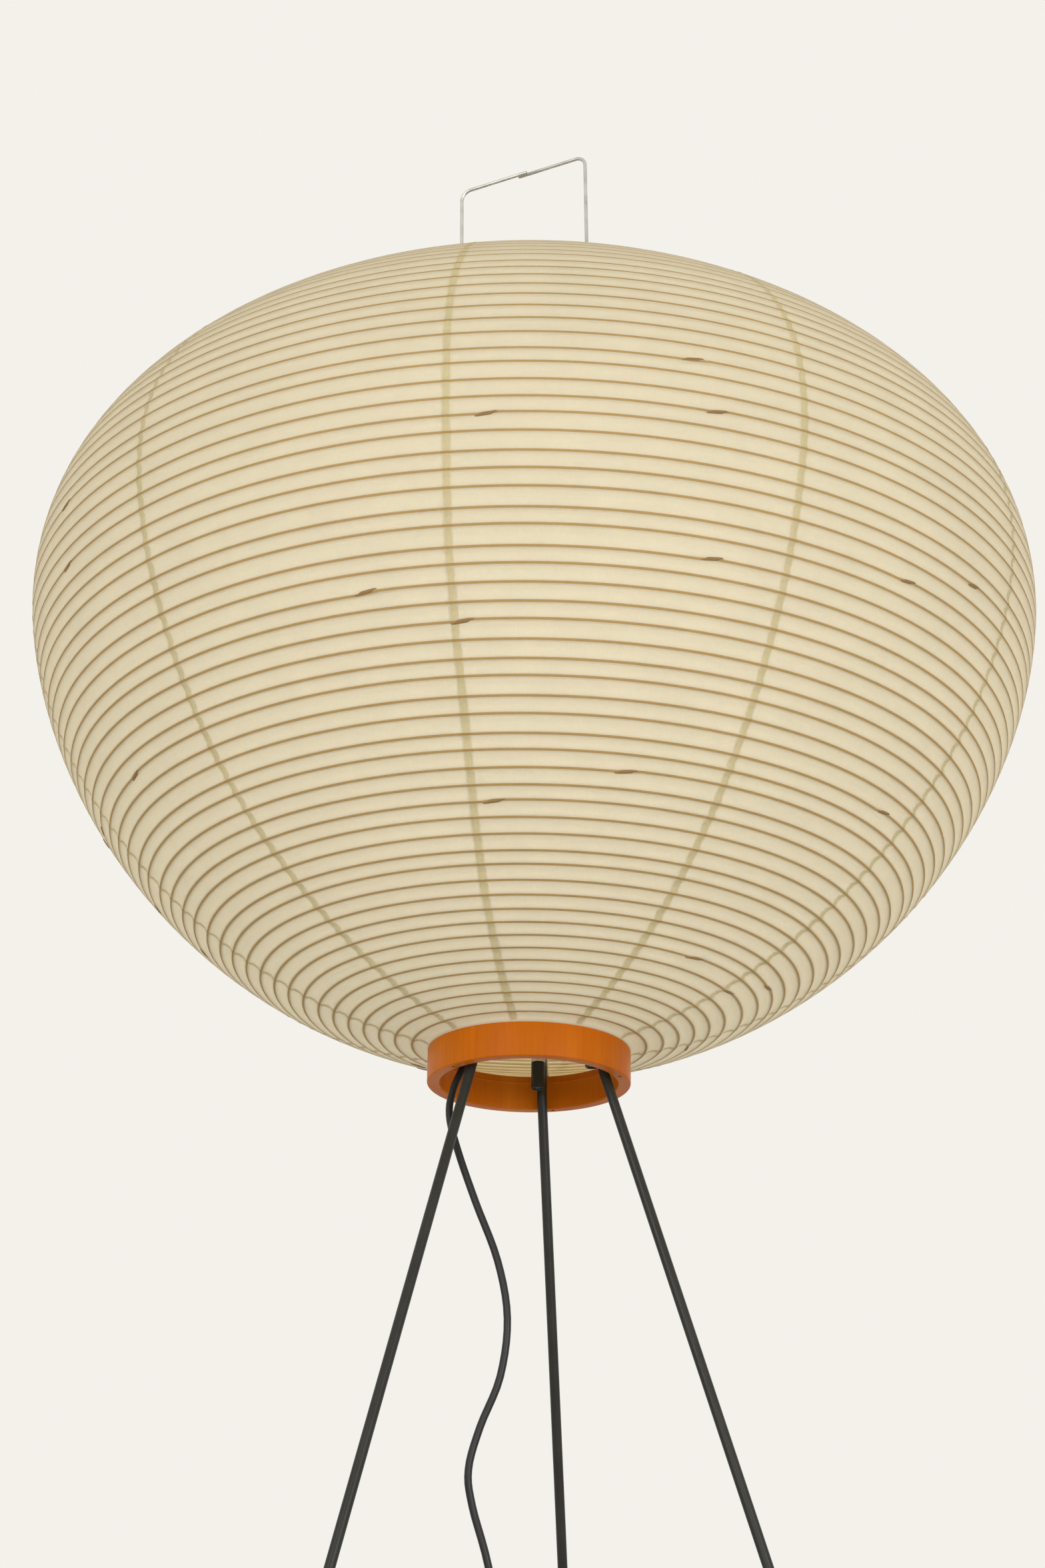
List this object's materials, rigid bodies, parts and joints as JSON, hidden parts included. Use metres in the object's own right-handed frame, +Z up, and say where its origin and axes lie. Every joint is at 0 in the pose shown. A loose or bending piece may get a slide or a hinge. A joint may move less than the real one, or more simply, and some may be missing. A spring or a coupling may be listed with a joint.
{
  "type": "floor lamp",
  "caption": "Floor lamp with a ribbed round paper lantern shade, a wooden hoop at its lower end and a slim three-legged rod stand, with bulb, lampholder, corded switch and plug.",
  "frame": {"origin": "on the floor, below the shade's axis", "axes": "+Z up along the shade's axis; the picture looks along +Y, with +X to its right"},
  "size_m": [0.53, 0.53, 1.2302],
  "materials": {
    "paper": "satin, translucent white mulberry paper",
    "bamboo": "thin bamboo, satin",
    "steel_wire": "zinc-plated, semi-bright",
    "hoop_wood": "orange-brown stain, satin",
    "spider_steel": "zinc-plated",
    "brass": "satin",
    "holder_plastic": "matte black",
    "insulation": "smooth",
    "bulb_glass": "frosted",
    "cap_aluminium": "satin",
    "insulator": "smooth",
    "black_steel": "satin black",
    "rubber": "matte",
    "cord_black": "satin",
    "switch_plastic": "satin black"
  },
  "bodies": {
    "stand": {"leg_left": "black_steel", "leg_right": "black_steel", "leg_rear": "black_steel", "socket_left": "black_steel", "socket_right": "black_steel", "socket_rear": "black_steel", "foot_left": "rubber", "foot_right": "rubber", "foot_rear": "rubber", "cord_hanging": "cord_black", "cord_middle": "cord_black", "cord_coil": "cord_black", "cord_tail": "cord_black", "cord_tie": "cord_black", "switch_base": "switch_plastic", "switch_cover": "switch_plastic", "switch_contacts": "brass", "switch_screws": "spider_steel", "plug_body": "switch_plastic", "plug_pins": "brass"},
    "shade_unit": {"paper_gore_1": "paper", "paper_gore_2": "paper", "paper_gore_3": "paper", "paper_gore_4": "paper", "paper_gore_5": "paper", "paper_gore_6": "paper", "paper_gore_7": "paper", "paper_gore_8": "paper", "paper_gore_9": "paper", "paper_gore_10": "paper", "bamboo_ribs": "bamboo", "top_ring": "steel_wire", "wooden_hoop": "hoop_wood", "spider": "spider_steel", "spider_pins": "spider_steel", "hoop_screws": "spider_steel", "stretcher_left": "steel_wire", "stretcher_right": "steel_wire", "rim_hooks": "steel_wire", "nipple": "brass", "nipple_nuts": "brass", "holder_cup": "holder_plastic", "holder_body": "holder_plastic", "screw_shell": "brass", "centre_contact": "brass", "terminals": "brass", "lead_wires": "insulation", "strain_relief": "holder_plastic"},
    "bulb_core": {"bulb_contact": "insulator"},
    "bulb": {"bulb_glass": "bulb_glass", "bulb_cap": "cap_aluminium"},
    "rocker": {"switch_rocker": "switch_plastic"}
  },
  "joints": [
    {"name": "shade_lift", "type": "slide", "parent": "stand", "child": "shade_unit", "axis": [0, 0, 1], "range_m": [0, 0.018]},
    {"name": "bulb_rise", "type": "slide", "parent": "shade_unit", "child": "bulb_core", "axis": [0, 0, 1], "range_m": [0, 0.0144]},
    {"name": "bulb_turn", "type": "hinge", "parent": "bulb_core", "child": "bulb", "pos_m": [0, 0, 0.78], "axis": [0, 0, 1], "range_deg": [0, 1440]},
    {"name": "rocker_tilt", "type": "hinge", "parent": "stand", "child": "rocker", "pos_m": [0.061, 0.08, 0.0126], "axis": [0, -1, 0], "range_deg": [0, 16]}
  ],
  "couplings": [
    {"joint": "bulb_rise", "follows": "bulb_turn", "m_per_rad": 0.00057295}
  ]
}
